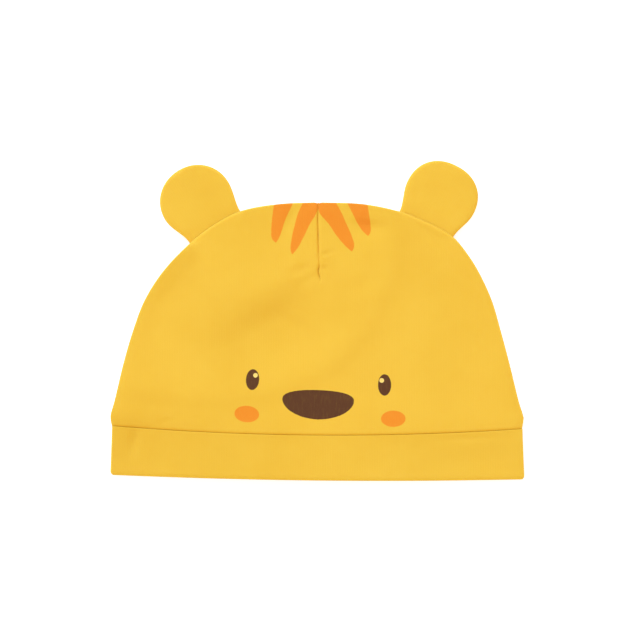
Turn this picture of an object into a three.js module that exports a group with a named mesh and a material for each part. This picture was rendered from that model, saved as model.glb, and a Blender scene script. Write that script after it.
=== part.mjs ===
// A baby's jersey hat with two round ears, lying flat on its back on a table.
// Millimetres: +X across the hat, +Y from the rim to the crown, +Z up out of the table.
// The crown is a front and a back panel that meet in one seam round the outline. Each ear is a
// pouch whose base is caught in that seam, and the band is a strip folded double at the rim.

import * as THREE from "three";

// Cloth and seams
const JERSEY_WALL = 1.2;
const BAND_WALL = 1.8;
const EAR_WALL = 1.0;
const STITCH_GAP = 0.3;
const SEAM_HEIGHT = 3.0;
// Folds and dents die out this near the outline
const DENT_FADE = 8;
const FOLD_FADE = 4;
// The share of the roll that an ear's slot takes away
const FLATTEST = 0.9;

// How far the front stands off the back: at the rim, over the crown and near its top
const PUFF = [
  { y: -78, height: 4.6 },
  { y: -55, height: 4.4 },
  { y: -35, height: 2.8 },
  { y: -10, height: 2.0 },
  { y: 30, height: 1.8 },
  { y: 58, height: 1.6 },
];
const PUFF_SPREAD = 40;

// The seam between crown and band, and the rim, are shallow arcs across the hat
const SEAM_ARC = { middle: 12, low: -55.5, bend: 0.00042 };
const RIM_ARC = { middle: 36, low: -77.7, bend: 0.00015 };
const BAND_SIDES = { left: { seam: -100.0, rim: -100.6 }, right: { seam: 99.9, rim: 100.8 } };
// The seam allowance inside lifts the band's upper edge, and more so near its left end
const BAND_LIFT = { rise: 0.5, length: 5, leftRise: 1.8, leftX: -97, leftWidth: 26 };
// The crown is fuller than the band and stands above it at the seam
const CROWN_LIP = { height: 0.8, length: 6 };

// The crown's outline, from the band's corner up to the dart, on each side
const OUTLINE_LEFT = [
  { x: -100.1, y: -50.1 },
  { x: -100.7, y: -46.6 },
  { x: -98.9, y: -38.4 },
  { x: -94.5, y: -20.0 },
  { x: -89.9, y: -4.3 },
  { x: -84.3, y: 10.3 },
  { x: -75.6, y: 24.0 },
  { x: -64.2, y: 36.2 },
  { x: -50.3, y: 47.1 },
  { x: -36.5, y: 54.0 },
  { x: -18.3, y: 57.2 },
  { x: 0.3, y: 58.0 },
];
const OUTLINE_RIGHT = [
  { x: 99.8, y: -52.1 },
  { x: 100.6, y: -48.2 },
  { x: 97.9, y: -38.4 },
  { x: 93.4, y: -20.0 },
  { x: 89.2, y: -4.3 },
  { x: 84.9, y: 10.3 },
  { x: 78.5, y: 24.2 },
  { x: 73.4, y: 32.4 },
  { x: 66.9, y: 40.3 },
  { x: 59.7, y: 45.0 },
  { x: 51.5, y: 49.0 },
  { x: 41.0, y: 53.2 },
  { x: 22.6, y: 57.1 },
  { x: 0.3, y: 58.0 },
];

// The dart that takes in the top of each panel, down the middle
const DART = { x: 0.4, tip: 20.5, run: 8, depth: 1.0, width: 1.1 };
const DART_SHOULDER = { height: 0.5, width: 5.5 };

// Soft hollows and ridges of the front: a row for each, along a line through (x, y). `skew` is how
// many times wider it is to the right of the line's direction.
const DENTS = [
  { x: -27, y: 16, angle: 28, length: 20, width: 9, rise: 0.7, skew: 1 },
  { x: -26, y: -3, angle: 28, length: 24, width: 10, rise: -2.8, skew: 2.1 },
  { x: -12, y: -2, angle: -31, length: 9, width: 4.5, rise: -1.2, skew: 2.5 },
  { x: 23, y: 47, angle: -3, length: 10, width: 2.6, rise: -0.7, skew: 1 },
  { x: -80, y: -55, angle: -6, length: 20, width: 8, rise: -1.8, skew: 1 },
  { x: 60, y: 25, angle: 70, length: 16, width: 9, rise: -0.4, skew: 1 },
  { x: -91, y: -58, angle: 80, length: 7, width: 3, rise: -0.7, skew: 1 },
];
// The crown's fuller part ends in a soft step along an arc whose frame is turned by `turn`
const STEP_ARC = { middle: -2, low: -22.5, bend: 0.0072 };
const STEP = { turn: 42, width: 9, rise: 0.7 };
// The hollow that runs inside the outline's seam: full to the left of x and above y, and `right`
// of it past there. It is wider on its inner side.
const SEAM_HOLLOW = { inset: 12, outerWidth: 8, innerWidth: 45, rise: -1.3 };
const HOLLOW_REACH = { right: 0.35, x: -20, y: -12, fadeX: 25, fadeY: 34 };

// An ear in its own frame: a round head on a waisted neck, tucked into the seam
const EAR = {
  radius: 18.1,
  centre: 16,
  reach: 33.2,
  neck: 14.5,
  tuck: 4,
  baseHalf: 1.3,
  headHalf: 1.7,
  squareness: 6,
  sewnHalf: 0.1,
};
const EARS = [
  { name: "ear_left", x: -49.5, y: 45.8, turn: 32.3, lean: -1.1 },
  { name: "ear_right", x: 53.0, y: 46.1, turn: -26.8, lean: -0.2 },
];
const EAR_DROOP = 1.0;
const EAR_SLOT = { halfWidth: 11.6, fade: 5 };

const YELLOW = new THREE.Color("#f7c645");

const clamp01 = (t) => Math.min(1, Math.max(0, t));
const smooth = (t) => clamp01(t) ** 2 * (3 - 2 * clamp01(t));
const mix = (a, b, t) => a + (b - a) * t;
const bell = (t) => Math.exp(-t * t);

// The value of column `key` in a table, at y, on straight lines between rows
function lookUp(table, key, y) {
  const next = table.findIndex((row) => row.y >= y);
  if (next === 0) return table[0][key];
  if (next < 0) return table.at(-1)[key];
  const [a, b] = [table[next - 1], table[next]];
  return mix(a[key], b[key], (y - a.y) / (b.y - a.y));
}

const arcAt = (arc, x) => arc.low + arc.bend * (x - arc.middle) ** 2;
const seamY = (x) => arcAt(SEAM_ARC, x);
const rimY = (x) => arcAt(RIM_ARC, x);

function curveThrough(stations) {
  const points = stations.map(({ x, y }) => new THREE.Vector3(x, y, 0));
  return new THREE.CatmullRomCurve3(points, false, "centripetal");
}
const outlineCurves = [OUTLINE_LEFT, OUTLINE_RIGHT].map(curveThrough);

// The flat silhouette up the left side, over the crown and down the right. The rim is left open,
// and both sides run on past it.
const SILHOUETTE_STEPS = 90;
const PAST_RIM = 4;
const belowRim = (x) => new THREE.Vector3(x, rimY(x) - PAST_RIM, 0);
const silhouette = [
  belowRim(BAND_SIDES.left.rim),
  ...outlineCurves[0].getSpacedPoints(SILHOUETTE_STEPS),
  ...outlineCurves[1].getSpacedPoints(SILHOUETTE_STEPS).reverse().slice(1),
  belowRim(BAND_SIDES.right.rim),
];

// How far (x, y) is inside the silhouette, and the way out from there
function nearestEdge(x, y) {
  const point = new THREE.Vector3(x, y, 0);
  const onLine = new THREE.Vector3();
  const line = new THREE.Line3();
  const nearest = { inset: Infinity, outward: new THREE.Vector3() };
  for (let i = 1; i < silhouette.length; i++) {
    line.set(silhouette[i - 1], silhouette[i]);
    const inset = line.closestPointToPoint(point, true, onLine).distanceTo(point);
    if (inset < nearest.inset) {
      nearest.inset = inset;
      nearest.outward.set(line.start.y - line.end.y, line.end.x - line.start.x, 0).normalize();
    }
  }
  return nearest;
}

// A point in an ear's own frame: u along its base, v out from the base
function inEarFrame(ear, x, y) {
  const turn = THREE.MathUtils.degToRad(ear.turn);
  const [dx, dy] = [x - ear.x, y - ear.y];
  return {
    u: dx * Math.cos(turn) + dy * Math.sin(turn),
    v: -dx * Math.sin(turn) + dy * Math.cos(turn),
  };
}

// How far the outline seam opens, from 0 to 1, to take the base of an ear
function earOpening(x, y) {
  const shares = EARS.map((ear) => {
    const { u, v } = inEarFrame(ear, x, y);
    const atBase = Math.abs(v) < EAR.radius;
    return atBase ? 1 - smooth((Math.abs(u) - EAR_SLOT.halfWidth) / EAR_SLOT.fade) : 0;
  });
  return Math.max(...shares);
}

// A point in a frame that is turned about (cx, cy)
function turned(degrees, cx, cy, x, y) {
  const a = THREE.MathUtils.degToRad(degrees);
  return {
    along: (x - cx) * Math.cos(a) + (y - cy) * Math.sin(a),
    across: (y - cy) * Math.cos(a) - (x - cx) * Math.sin(a),
  };
}

function dent(row, x, y) {
  const { along, across } = turned(row.angle, row.x, row.y, x, y);
  const width = across < 0 ? row.width * row.skew : row.width;
  return row.rise * bell(along / row.length) * bell(across / width);
}

// The step down from the crown's fuller part, by the distance from its arc
function stepOf(x, y) {
  const { along, across } = turned(STEP.turn, 0, 0, x, y);
  const steepness = Math.hypot(1, 2 * STEP_ARC.bend * (along - STEP_ARC.middle));
  const inside = (across - arcAt(STEP_ARC, along)) / steepness;
  return STEP.rise * smooth(0.5 + inside / STEP.width);
}

// The hollow inside the outline's seam, by the distance from its middle line
function hollowOf(x, y, inset) {
  const { right, fadeX, fadeY } = HOLLOW_REACH;
  const sideways = mix(right, 1, smooth((HOLLOW_REACH.x - x) / fadeX));
  const reach = sideways * smooth((y - HOLLOW_REACH.y) / fadeY);
  const past = inset - SEAM_HOLLOW.inset;
  const width = past < 0 ? SEAM_HOLLOW.outerWidth : SEAM_HOLLOW.innerWidth;
  return SEAM_HOLLOW.rise * reach * bell(past / width);
}

function dartGroove(x, y) {
  const across = x - DART.x;
  const shoulders = DART_SHOULDER.height * bell(across / DART_SHOULDER.width);
  const groove = DART.depth * bell(across / DART.width);
  return smooth((y - DART.tip) / DART.run) * (shoulders - groove);
}

function reliefOf(x, y, inset) {
  const dents = DENTS.reduce((sum, row) => sum + dent(row, x, y), 0);
  return (dents + stepOf(x, y) + hollowOf(x, y, inset)) * smooth(inset / DENT_FADE);
}

// The roll of the cloth over the silhouette's edge, as the slant of its face and its drop from the
// flat. `open` is 0 on a closed seam, where it turns right over, and 1 where it stays nearly flat.
function rollAt(inset, open, radius) {
  const start = 1 - FLATTEST * open;
  const cosine = start * (1 - Math.min(inset / radius, 1));
  const sine = Math.sqrt(1 - cosine ** 2);
  return { cosine, sine, drop: (radius / start) * (1 - sine) };
}

// How much higher than flat cloth the front stands: its puff and its dents
function frontPuff(x, y, inset) {
  return lookUp(PUFF, "height", y) * (1 - Math.exp(-inset / PUFF_SPREAD)) + reliefOf(x, y, inset);
}

function crownFrontLift(x, y) {
  const { inset } = nearestEdge(x, y);
  const lip = CROWN_LIP.height * Math.exp(-Math.max(0, y - seamY(x)) / CROWN_LIP.length);
  return frontPuff(x, y, inset) + (lip + dartGroove(x, y)) * smooth(inset / FOLD_FADE);
}

function crownBackLift(x, y) {
  return Math.max(0, -dartGroove(x, y)) * smooth(nearestEdge(x, y).inset / FOLD_FADE);
}

// The faces between rows of points of one length. `wrapRows` joins the last row to the first, and
// `wrapPoints` each row's last point to its first.
function gridFaces(rows, columns, index, wrapRows, wrapPoints, faces) {
  for (let i = 0; i < rows - (wrapRows ? 0 : 1); i++) {
    for (let j = 0; j < columns - (wrapPoints ? 0 : 1); j++) {
      const [i2, j2] = [(i + 1) % rows, (j + 1) % columns];
      const [a, b, c, d] = [index(i, j), index(i, j2), index(i2, j2), index(i2, j)];
      faces.push(a, b, c, a, c, d);
    }
  }
}

function geometryOf(points, faces) {
  const geometry = new THREE.BufferGeometry().setFromPoints(points);
  geometry.setIndex(faces);
  geometry.computeVertexNormals();
  return geometry;
}

// A slab between two grids of the same size: the outer face, the inner face and the edge all round
function slab(outer, inner) {
  const [rows, columns] = [outer.length, outer[0].length];
  const points = [...outer.flat(), ...inner.flat()];
  const outerIndex = (i, j) => i * columns + j;
  const innerIndex = (i, j) => rows * columns + i * columns + j;
  const faces = [];
  gridFaces(rows, columns, outerIndex, false, false, faces);
  const flipped = [];
  gridFaces(rows, columns, innerIndex, false, false, flipped);
  faces.push(...flipped.reverse());
  const edge = [];
  for (let j = 0; j < columns; j++) edge.push([0, j]);
  for (let i = 1; i < rows; i++) edge.push([i, columns - 1]);
  for (let j = columns - 2; j >= 0; j--) edge.push([rows - 1, j]);
  for (let i = rows - 2; i > 0; i--) edge.push([i, 0]);
  edge.forEach(([i, j], k) => {
    const [i2, j2] = edge[(k + 1) % edge.length];
    const [a, b, c, d] = [outerIndex(i, j), innerIndex(i, j), innerIndex(i2, j2), outerIndex(i2, j2)];
    faces.push(a, b, c, a, c, d);
  });
  return geometryOf(points, faces);
}

// Shares of the way from the band's corner to the dart, closer together at the ears and the dart
const FRONT_FAN = [0, 0.006, 0.02, 0.045, 0.08, 0.13, 0.18, 0.23, 0.28, 0.33, 0.38, 0.43, 0.48]
  .concat([0.52, 0.55, 0.57, 0.585, 0.6, 0.62, 0.65, 0.7, 0.73, 0.75, 0.765, 0.78, 0.81, 0.86])
  .concat([0.91, 0.95, 0.975, 0.988, 0.995, 1]);
const BACK_FAN = [0, 0.008, 0.035, 0.1, 0.18, 0.27, 0.36, 0.45, 0.52, 0.55, 0.57, 0.585, 0.6]
  .concat([0.62, 0.65, 0.7, 0.73, 0.75, 0.765, 0.78, 0.82, 0.88, 0.94, 0.98, 0.995, 1]);
// Shares of the way from the band's seam to the outline, closer together at the outline's roll
const FRONT_RISE = [0, 0.04, 0.1, 0.17, 0.25, 0.33, 0.41, 0.49, 0.57, 0.65, 0.73, 0.8, 0.86, 0.91]
  .concat([0.95, 0.975, 0.99, 0.997, 1]);
const BACK_RISE = [0, 0.15, 0.35, 0.55, 0.72, 0.85, 0.93, 0.975, 0.99, 0.997, 1];
// The side of a panel is the outline's first few millimetres, above the band's corner
const SIDE_SHARE = 0.03;

// One half of a panel's flat cut, as columns from the side to the dart. The first column follows
// the outline, and each other one runs straight from the band's seam up to the outline.
function halfPanel(curve, fan, rise) {
  const side = curve.getPointAt(0).x;
  return fan.map((share) => {
    if (share === 0) return rise.map((up) => curve.getPointAt(SIDE_SHARE * up));
    const x = mix(side, DART.x, share);
    const foot = new THREE.Vector3(x, seamY(x) + STITCH_GAP / 2, 0);
    const top = curve.getPointAt(mix(SIDE_SHARE, 1, share));
    return rise.map((up) => new THREE.Vector3().lerpVectors(foot, top, up));
  });
}

// Half the distance over which a panel's slope is measured
const SLOPE_STEP = 0.1;

// A point of a panel's outer face and the one on its inner face, a wall's thickness inside it
function panelPoint({ facing, flat, liftAt }, { x, y }, onOutline, onSeam) {
  const { inset, outward } = nearestEdge(x, y);
  const roll = rollAt(onOutline ? 0 : inset, earOpening(x, y), SEAM_HEIGHT - STITCH_GAP / 2);
  const slope = (dx, dy) => (liftAt(x + dx, y + dy) - liftAt(x - dx, y - dy)) / SLOPE_STEP / 2;
  const normal = new THREE.Vector3(-slope(SLOPE_STEP, 0), -slope(0, SLOPE_STEP), 1);
  normal.multiplyScalar(facing * roll.sine).addScaledVector(outward, roll.cosine);
  if (onSeam) normal.setY(0);
  const outer = new THREE.Vector3(x, y, flat - facing * roll.drop + liftAt(x, y));
  return { outer, inner: outer.clone().addScaledVector(normal.normalize(), -JERSEY_WALL) };
}

function panel(form, fan, rise) {
  const [left, right] = outlineCurves.map((curve) => halfPanel(curve, fan, rise));
  const columns = [...left, ...right.reverse().slice(1)];
  const rows = rise.map((up, i) =>
    columns.map((column, j) => {
      const onOutline = up === 1 || j === 0 || j === columns.length - 1;
      return panelPoint(form, column[i], onOutline, up === 0);
    }),
  );
  const [outer, inner] = ["outer", "inner"].map((face) => rows.map((row) => row.map((p) => p[face])));
  return form.facing > 0 ? slab(outer, inner) : slab(inner, outer);
}

// The band's ring at one height: across the front to the right, then back underneath. Its points
// are closer together at the two ends.
const BAND_ROUND = 34;
function bandRing() {
  const ring = [];
  for (const side of [1, -1]) {
    for (let k = 0; k < BAND_ROUND; k++) {
      const share = (1 - Math.cos((Math.PI * k) / BAND_ROUND)) / 2;
      ring.push({ across: side > 0 ? share : 1 - share, side });
    }
  }
  return ring;
}

// How far the seam allowance inside lifts the band's front
function bandLift(x, y, down, inset) {
  const { rise, length, leftRise, leftX, leftWidth } = BAND_LIFT;
  const left = leftRise * bell((x - leftX) / leftWidth) * (1 - down);
  return (rise * Math.exp((y - seamY(x)) / length) + left) * smooth(inset / FOLD_FADE);
}

// A point of the band: `down` from the seam to the rim, `depth` inside the outer face, and `lift`
// above the rim's arc where the cloth folds round it
function bandPoint({ across, side }, { down, depth, lift }) {
  const left = mix(BAND_SIDES.left.seam, BAND_SIDES.left.rim, down);
  const right = mix(BAND_SIDES.right.seam, BAND_SIDES.right.rim, down);
  const x = mix(left, right, across);
  const y = mix(seamY(x) - STITCH_GAP / 2, rimY(x), down) + lift;
  const inset = Math.min(x - left, right - x);
  const roll = rollAt(inset, 0, SEAM_HEIGHT);
  const puff = side > 0 ? frontPuff(x, y, inset) + bandLift(x, y, down, inset) : 0;
  const z = SEAM_HEIGHT + side * (SEAM_HEIGHT - depth) * roll.sine + puff;
  return new THREE.Vector3(x - depth * roll.cosine * Math.sign(across - 0.5), y, z);
}

// Shares of the way from the seam to the rim, and the steps of the fold round the rim
const BAND_ROWS = [0, 0.2, 0.45, 0.7, 0.88];
const RIM_FOLD = [180, 135, 90, 45, 0];

// The band: up from the fold on the inside, out over the rim and back up to the seam
function band() {
  const ring = bandRing();
  const half = BAND_WALL / 2;
  const inside = BAND_ROWS.map((down) => ({ down, depth: BAND_WALL, lift: 0 }));
  const fold = RIM_FOLD.map((degrees) => {
    const turn = THREE.MathUtils.degToRad(degrees);
    return { down: 1, depth: half * (1 - Math.cos(turn)), lift: half * (1 - Math.sin(turn)) };
  });
  const outside = [...BAND_ROWS].reverse().map((down) => ({ down, depth: 0, lift: 0 }));
  const rows = [...inside, ...fold, ...outside];
  const points = rows.flatMap((row) => ring.map((place) => bandPoint(place, row)));
  const faces = [];
  gridFaces(rows.length, ring.length, (i, j) => i * ring.length + j, true, true, faces);
  return geometryOf(points, faces);
}

// An ear's half width at a distance v from its base
function earHalfWidth(v) {
  const { radius, centre, reach, neck } = EAR;
  if (v > centre) return radius * Math.sqrt(Math.max(0, 1 - ((v - centre) / (reach - centre)) ** 2));
  const waist = (1 - Math.cos((Math.PI * Math.max(v, 0)) / centre)) / 2;
  return mix(neck, radius, waist);
}

// An ear's half thickness: thin in the seam, a little fuller in the head, round at the tip
function earHalfThickness(v) {
  const { centre, reach, baseHalf, headHalf, squareness } = EAR;
  if (v < centre) return mix(baseHalf, headHalf, smooth(v / centre));
  return headHalf * Math.sqrt(Math.max(0, 1 - ((v - centre) / (reach - centre)) ** squareness));
}

// Where the ear's sections lie along it, and the points of a section across it
const EAR_ACROSS = [-1, -0.965, -0.87, -0.68, -0.4, 0, 0.4, 0.68, 0.87, 0.965, 1];
const EAR_ALONG = [0, 4, 8.5, 13, 17.5, 22, 26, 29, 31.5, 33.6, 35.4, 36.6];

// One ring of the pouch at a distance v from the base, set in by `wall` for the inner face
function earRing(v, wall, lean) {
  const width = earHalfWidth(v) - wall;
  const half = Math.max(EAR.sewnHalf, earHalfThickness(v) - wall);
  const middle = lean * smooth(v / EAR.centre);
  const pointAt = (share, side) => {
    const thick = half * Math.sqrt(1 - Math.abs(share) ** EAR.squareness);
    return new THREE.Vector3(middle + width * share, v, side * thick);
  };
  const front = EAR_ACROSS.map((share) => pointAt(share, 1));
  const back = EAR_ACROSS.slice(1, -1).reverse().map((share) => pointAt(share, -1));
  return [...front, ...back];
}

// The pouch: its inner face from the tip to the open base, then its outer face back to the tip
function earPouch(lean) {
  const heights = EAR_ALONG.map((along) => along - EAR.tuck);
  const shrink = (EAR.reach - EAR_WALL) / EAR.reach;
  const inner = heights.map((v) => earRing(v > 0 ? v * shrink : v, EAR_WALL, lean)).reverse();
  const outer = heights.map((v) => earRing(v, 0, lean));
  const rings = [...inner, ...outer];
  const columns = rings[0].length;
  const points = [
    ...rings.flat(),
    new THREE.Vector3(lean, EAR.reach - EAR_WALL, 0),
    new THREE.Vector3(lean, EAR.reach, 0),
  ];
  const lastRing = (rings.length - 1) * columns;
  const [innerTip, outerTip] = [rings.length * columns, rings.length * columns + 1];
  const faces = [];
  gridFaces(rings.length, columns, (i, j) => i * columns + j, false, true, faces);
  for (let j = 0; j < columns; j++) {
    const next = (j + 1) % columns;
    faces.push(innerTip, next, j, outerTip, lastRing + j, lastRing + next);
  }
  return geometryOf(points, faces);
}

function jersey() {
  return new THREE.MeshStandardMaterial({ color: YELLOW, roughness: 0.9, metalness: 0 });
}

function piece(name, geometry) {
  const mesh = new THREE.Mesh(geometry, jersey());
  mesh.name = name;
  return mesh;
}

const hat = new THREE.Group();
const FRONT = { facing: 1, flat: 2 * SEAM_HEIGHT, liftAt: crownFrontLift };
const BACK = { facing: -1, flat: 0, liftAt: crownBackLift };
hat.add(piece("crown_front", panel(FRONT, FRONT_FAN, FRONT_RISE)));
hat.add(piece("crown_back", panel(BACK, BACK_FAN, BACK_RISE)));
hat.add(piece("band", band()));
for (const { name, x, y, turn, lean } of EARS) {
  const ear = piece(name, earPouch(lean));
  ear.rotation.set(THREE.MathUtils.degToRad(-EAR_DROOP), 0, THREE.MathUtils.degToRad(turn), "ZYX");
  ear.position.set(x, y, SEAM_HEIGHT);
  hat.add(ear);
}

export default hat;
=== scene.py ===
"""A baby's cotton jersey hat with two round ears and a printed face, lying flat on its back.

Sizes here are in millimetres and angles in degrees, in the part's own frame: +X across the hat, +Y
from the rim to the top of the crown, +Z up out of the table. Meshes are put down in metres.
Each sub-assembly is a class that works out its surfaces as whole numpy arrays: the two crown
panels, the band and the ears. The finishes are frozen dataclasses, and the studio is a class.
"""

import logging
import math
from dataclasses import dataclass, field
from enum import Enum

import bpy
import numpy as np
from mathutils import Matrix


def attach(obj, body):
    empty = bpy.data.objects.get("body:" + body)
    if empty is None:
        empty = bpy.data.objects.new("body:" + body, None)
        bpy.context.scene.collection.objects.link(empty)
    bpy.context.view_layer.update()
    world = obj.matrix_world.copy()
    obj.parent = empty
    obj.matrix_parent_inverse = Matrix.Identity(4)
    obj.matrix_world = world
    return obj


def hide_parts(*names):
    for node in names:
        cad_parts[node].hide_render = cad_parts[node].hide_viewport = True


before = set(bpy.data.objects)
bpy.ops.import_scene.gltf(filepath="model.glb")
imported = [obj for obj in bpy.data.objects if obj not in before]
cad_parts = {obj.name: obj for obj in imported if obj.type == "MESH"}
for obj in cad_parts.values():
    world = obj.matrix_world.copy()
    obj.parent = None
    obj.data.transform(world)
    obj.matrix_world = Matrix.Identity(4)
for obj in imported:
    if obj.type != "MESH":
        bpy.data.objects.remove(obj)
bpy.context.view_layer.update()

LOG = logging.getLogger("hat")

MM = 0.001

# Points: a row of coordinates for each
Points = np.ndarray
# Values on a grid, one for each point
Field = np.ndarray
# An object, a material's node tree and one of its nodes
Thing = bpy.types.Object
Tree = bpy.types.NodeTree
Node = bpy.types.Node
# What a node's input can be linked to: an output, or a node for its first output
Link = bpy.types.NodeSocket | bpy.types.Node

# How many waves make up an uneven relief, and how far their lengths spread about the middle one
WAVES = 8
WAVE_SPREAD = (0.67, 1.5)
# How many steps a density is summed up over
DENSITY_STEPS = 4000
# The area of a grid's cell is taken to be no smaller than this where something is divided by it
TINY = 1e-9
# Creases sharper than this many degrees keep their edge
SHARP_ANGLE = 55.0
# The UV map that follows the knitting, and how many millimetres of cloth one unit of it is
GRAIN_MAP = "grain"
GRAIN_UNIT = 100.0
# The attribute that is 1 on the cloth's right side and 0 on its wrong side
OUTSIDE = "outside"
# Object coordinates are metres: a pattern that repeats once a metre, times this, repeats once a
# millimetre
PER_METRE = 1000.0


class Facing(Enum):
    """Which way a crown panel faces: up, out of the table, or down onto it."""

    FRONT = 1
    BACK = -1


def smooth(t: Field) -> Field:
    """A soft step from 0 to 1: three squares less two cubes of the clipped share."""
    t = np.clip(t, 0.0, 1.0)
    return t * t * (3.0 - 2.0 * t)


def mix(a: Field, b: Field, t: Field) -> Field:
    """The straight blend from a to b."""
    return a + (b - a) * t


def bell(t: Field) -> Field:
    """The bell curve that is 1 at 0: e to the minus square."""
    return np.exp(-t * t)


def rounding(distance: Field, width: float, depth: float) -> Field:
    """How far an edge that rounds over has sunk, as a quarter of an ellipse.

    Args:
        distance: how far each point is from the edge.
        width: how far in from the edge the rounding starts.
        depth: how far the edge itself has sunk.

    Returns:
        The drop: depth times one less the root of one less the square of the share left to the edge.
    """
    left = 1.0 - np.clip(distance / width, 0.0, 1.0)
    return depth * (1.0 - np.sqrt(1.0 - left * left))


def ripple(x: Field, y: Field, wavelength: float, seed: int) -> Field:
    """A smooth random relief: the mean of some plane waves in seeded random directions.

    Args:
        x, y: where it is wanted.
        wavelength: the middle length of the waves, which run from two thirds to one and a half of it.
        seed: what fixes the random draws.

    Returns:
        Values that mostly lie between -0.6 and 0.6.
    """
    draw = np.random.default_rng(seed)
    turn = draw.uniform(0.0, 2.0 * math.pi, WAVES)
    number = 2.0 * math.pi / (wavelength * draw.uniform(*WAVE_SPREAD, WAVES))
    phase = draw.uniform(0.0, 2.0 * math.pi, WAVES)
    along = x[..., None] * np.cos(turn) + y[..., None] * np.sin(turn)
    return np.sin(along * number + phase).mean(-1)


def turned(x: Field, y: Field, angle: float) -> tuple[Field, Field]:
    """How far points lie along and across a direction that is turned left from +X by an angle."""
    a = math.radians(angle)
    return x * math.cos(a) + y * math.sin(a), y * math.cos(a) - x * math.sin(a)


def running_sum(steps: Field) -> Field:
    """How far one has come before and after each step."""
    return np.concatenate([[0.0], np.cumsum(steps)])


def crowded(count: int, places: tuple[tuple[float, float, float], ...]) -> Field:
    """Shares from 0 to 1 that lie closer together round some places.

    The density is one plus a bell of the given strength round each place, and the shares lie at
    equal steps of its running sum.

    Args:
        count: how many shares there are.
        places: a row for each place: its share, the bell's width and its strength.

    Returns:
        The shares, with both ends exactly 0 and 1.
    """
    fine = np.linspace(0.0, 1.0, DENSITY_STEPS + 1)
    density = 1.0 + sum(strength * bell((fine - at) / width) for at, width, strength in places)
    total = running_sum((density[1:] + density[:-1]) / 2.0)
    return np.interp(np.linspace(0.0, total[-1], count), total, fine)


@dataclass(frozen=True)
class Arc:
    """A shallow arc across the hat: lowest at its middle, and rising with the square of x from there."""

    middle: float
    low: float
    bend: float

    def at(self, x: Field) -> Field:
        """The arc's y at x."""
        return self.low + self.bend * (x - self.middle) ** 2


@dataclass(frozen=True)
class Dent:
    """A soft hollow, or a ridge where its rise is positive, along a line through (x, y).

    It is wider by `skew` on the side that lies to the right of the line's direction.
    """

    x: float
    y: float
    angle: float
    length: float
    width: float
    rise: float
    skew: float = 1.0

    def at(self, x: Field, y: Field) -> Field:
        """The rise at points: one bell along the line times another across it.

        Args:
            x, y: the points.

        Returns:
            The height that the dent adds there.
        """
        along, across = turned(x - self.x, y - self.y, self.angle)
        width = np.where(across < 0.0, self.width * self.skew, self.width)
        return self.rise * bell(along / self.length) * bell(across / width)


class SmoothCurve:
    """A smooth curve through given points, read by the share of its length."""

    STEPS = 40

    def __init__(self, points: tuple[tuple[float, float], ...]) -> None:
        """Works out the curve: a cubic between each two points, with centripetal knots.

        The knots are the square root of each chord apart, and the slope at a point is the one of the
        parabola through it and its two neighbours. Both ends have a mirrored neighbour added.

        Args:
            points: the points that it goes through.
        """
        p = np.array(points, float)
        p = np.vstack([2 * p[0] - p[1], p, 2 * p[-1] - p[-2]])
        knot = np.sqrt(np.linalg.norm(np.diff(p, axis=0), axis=1))[:, None]
        a, b, c, d = p[:-3], p[1:-2], p[2:-1], p[3:]
        before, here, after = knot[:-2], knot[1:-1], knot[2:]
        start = ((b - a) / before - (c - a) / (before + here) + (c - b) / here) * here
        end = ((c - b) / here - (d - b) / (here + after) + (d - c) / after) * here
        t = (np.arange(self.STEPS) / self.STEPS)[None, :, None]
        b, c, start, end = (v[:, None, :] for v in (b, c, start, end))
        inner = (2 * t**3 - 3 * t**2 + 1) * b + (t**3 - 2 * t**2 + t) * start
        inner = inner + (3 * t**2 - 2 * t**3) * c + (t**3 - t**2) * end
        self.points = np.vstack([inner.reshape(-1, 2), p[-2]])
        self.travelled = running_sum(np.linalg.norm(np.diff(self.points, axis=0), axis=1))

    def at(self, share: Field) -> tuple[Field, Field]:
        """The x and y at shares of the curve's length."""
        place = np.asarray(share) * self.travelled[-1]
        return tuple(np.interp(place, self.travelled, self.points[:, axis]) for axis in (0, 1))


@dataclass(frozen=True)
class EarPlace:
    """Where an ear stands on the outline, and in what its form differs from the other's."""

    name: str
    x: float
    y: float
    turn: float
    # How far the head leans sideways, and the neck's half width on its left and on its right
    lean: float
    necks: tuple[float, float]
    # The power of the head's outline: 2 is an ellipse
    fullness: float
    # How far the head dips towards the table, or rises from it where this is negative
    droop: float
    seed: int

    def frame_of(self, x: Field, y: Field) -> tuple[Field, Field]:
        """A point in the ear's own frame: along its base, and out from the base."""
        return turned(x - self.x, y - self.y, self.turn)


EAR_LEFT = EarPlace("ear_left", -49.5, 45.8, 32.3, -1.1, (15.1, 14.3), 2.05, -1.0, 214)
EAR_RIGHT = EarPlace("ear_right", 53.0, 46.1, -26.8, -0.2, (15.1, 14.1), 2.2, 2.0, 178)


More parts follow.
